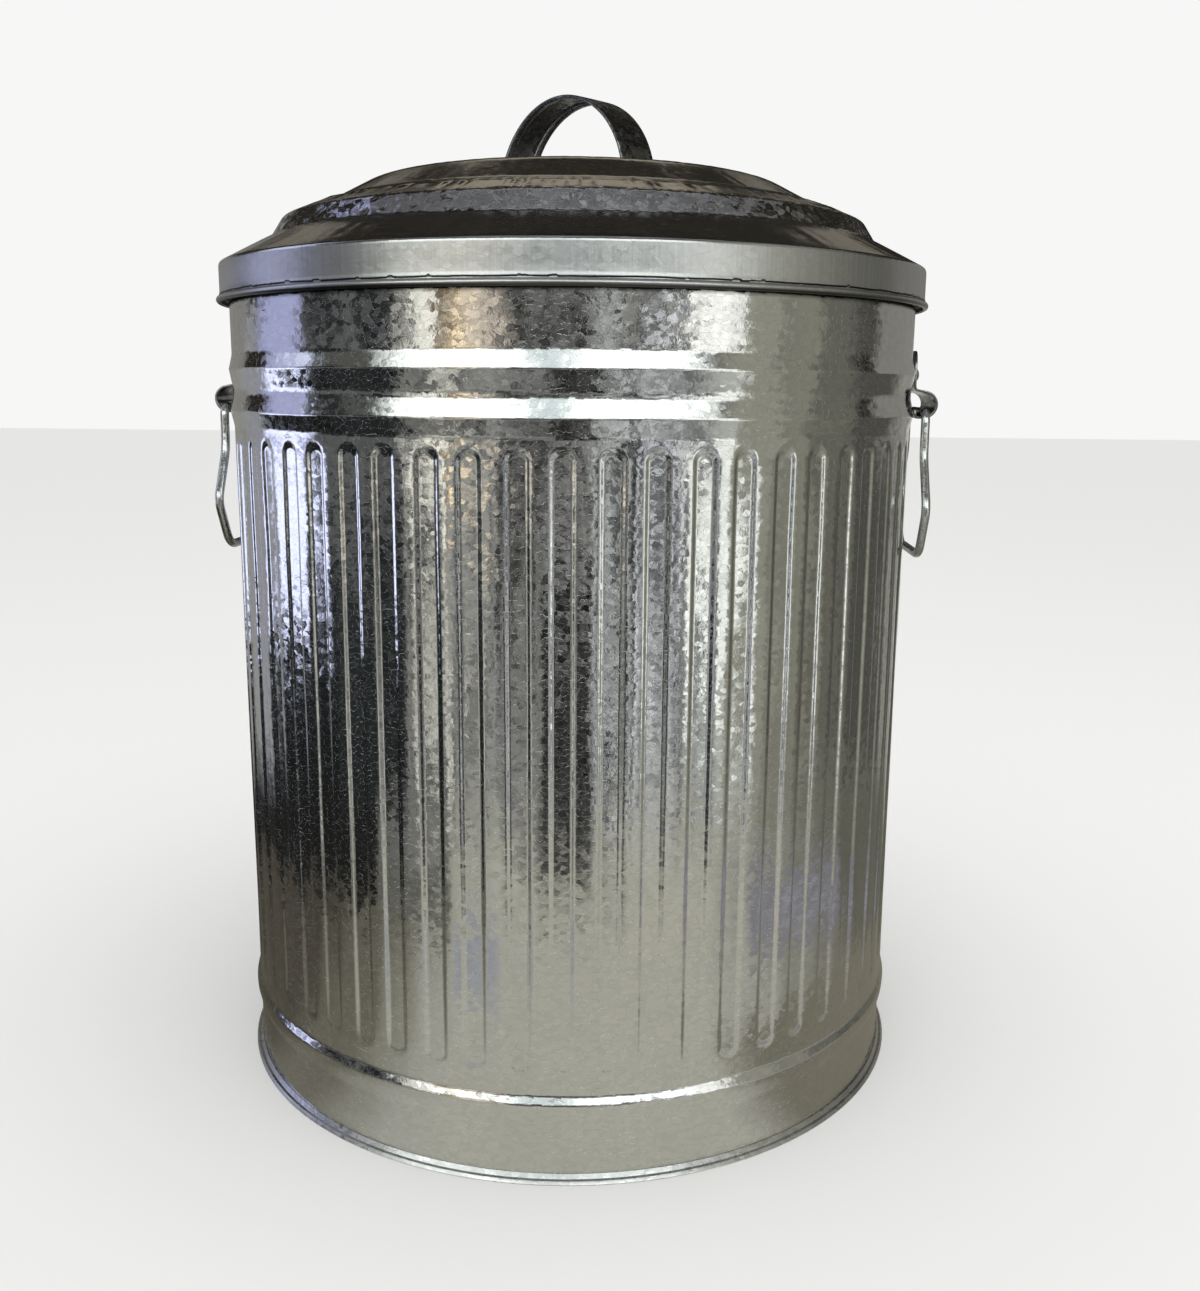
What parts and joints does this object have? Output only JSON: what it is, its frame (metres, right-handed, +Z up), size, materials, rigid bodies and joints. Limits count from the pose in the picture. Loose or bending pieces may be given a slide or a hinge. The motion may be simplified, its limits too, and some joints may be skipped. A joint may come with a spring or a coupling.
{
  "type": "galvanized trash can with lid",
  "caption": "Round galvanized steel trash can with fluted wall, stepped lift-off lid with strap handle, and wire drop handles at the sides",
  "frame": {"origin": "centre of the foot rim's underside, on the surface that the can stands on", "axes": "+Z up along the can's axis, +X through the right side handle, -Y at the front, with the side seam near +Y"},
  "size_m": [0.5074, 0.4894, 0.671],
  "materials": {
    "can_wall": "hot-dip galvanized, spangled",
    "bottom_pan": "hot-dip galvanized, spangled",
    "ear_left": "hot-dip galvanized, spangled",
    "ear_right": "hot-dip galvanized, spangled",
    "ear_rivet_left_front": "hot-dip galvanized, spangled",
    "ear_rivet_left_back": "hot-dip galvanized, spangled",
    "ear_rivet_right_front": "hot-dip galvanized, spangled",
    "ear_rivet_right_back": "hot-dip galvanized, spangled",
    "lid_crown": "hot-dip galvanized, spangled",
    "lid_handle": "hot-dip galvanized, spangled",
    "handle_rivet_1": "hot-dip galvanized, spangled",
    "handle_rivet_2": "hot-dip galvanized, spangled",
    "handle_rivet_3": "hot-dip galvanized, spangled",
    "handle_rivet_4": "hot-dip galvanized, spangled",
    "bail_left": "hot-dip galvanized, spangled",
    "bail_right": "hot-dip galvanized, spangled"
  },
  "bodies": {
    "can": {"can_wall": "can_wall", "bottom_pan": "bottom_pan", "ear_left": "ear_left", "ear_right": "ear_right", "ear_rivet_left_front": "ear_rivet_left_front", "ear_rivet_left_back": "ear_rivet_left_back", "ear_rivet_right_front": "ear_rivet_right_front", "ear_rivet_right_back": "ear_rivet_right_back"},
    "lid": {"lid_crown": "lid_crown", "lid_handle": "lid_handle", "handle_rivet_1": "handle_rivet_1", "handle_rivet_2": "handle_rivet_2", "handle_rivet_3": "handle_rivet_3", "handle_rivet_4": "handle_rivet_4"},
    "handle_left": {"bail_left": "bail_left"},
    "handle_right": {"bail_right": "bail_right"}
  },
  "joints": [
    {"name": "lid_lift", "type": "slide", "parent": "can", "child": "lid", "axis": [0, 0, 1], "range_m": [0, 0.12]},
    {"name": "handle_left_swing", "type": "hinge", "parent": "can", "child": "handle_left", "pos_m": [-0.2442, 0, 0.46165], "axis": [0, 1, 0], "range_deg": [0, 168]},
    {"name": "handle_right_swing", "type": "hinge", "parent": "can", "child": "handle_right", "pos_m": [0.2442, 0, 0.46165], "axis": [0, -1, 0], "range_deg": [0, 168]}
  ]
}
